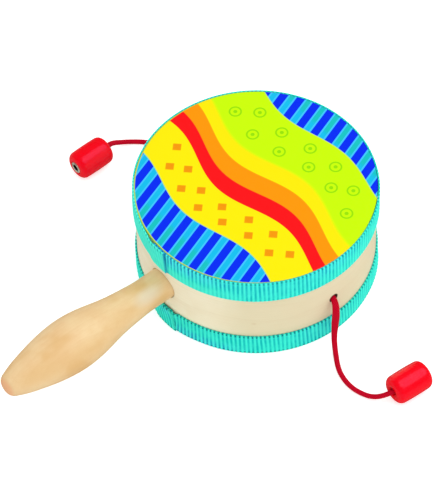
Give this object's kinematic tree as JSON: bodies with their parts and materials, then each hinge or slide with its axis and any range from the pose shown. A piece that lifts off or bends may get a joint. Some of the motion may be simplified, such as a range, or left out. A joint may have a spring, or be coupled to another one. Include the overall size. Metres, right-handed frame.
{
  "type": "twist drum",
  "caption": "Small two-headed wooden twist drum with ribbon rims, a turned handle and beads on short cords that strike the heads when it is spun.",
  "frame": {"origin": "middle of the lower head's underside, which lies on the floor", "axes": "+Z along the drum's axis, up through the printed head. The handle points along -Y. The cords leave the hoop at +X and -X."},
  "size_m": [0.1874, 0.1799, 0.0475],
  "materials": {
    "pale_wood": "bare pale bent wood with fine straight grain along the hoop, sanded smooth, satin",
    "turned_wood": "turned light wood, sanded and clear lacquered, with grain along the handle, satin",
    "printed_board": "printed board with a plain design of wavy bands: leaning blue and cyan stripes, orange diamonds on yellow, red, orange, yellow, and lime with pale rings, semi-gloss",
    "plain_board": "plain warm yellow board, semi-gloss",
    "ribbon": "turquoise grosgrain ribbon with fine upright ribs, soft sheen",
    "cord": "crimson braided cord",
    "red_lacquer": "bright red glossy lacquer over wood",
    "eyelet_metal": "bright nickel-plated metal, a little brushed"
  },
  "bodies": {
    "root": {"drum_hoop": "pale_wood", "top_head": "printed_board", "bottom_head": "plain_board", "top_ribbon": "ribbon", "bottom_ribbon": "ribbon", "handle": "turned_wood", "cord_left": "cord", "cord_right": "cord", "bead_left": "red_lacquer", "bead_right": "red_lacquer", "eyelet_left": "eyelet_metal", "eyelet_right": "eyelet_metal"}
  },
  "joints": []
}
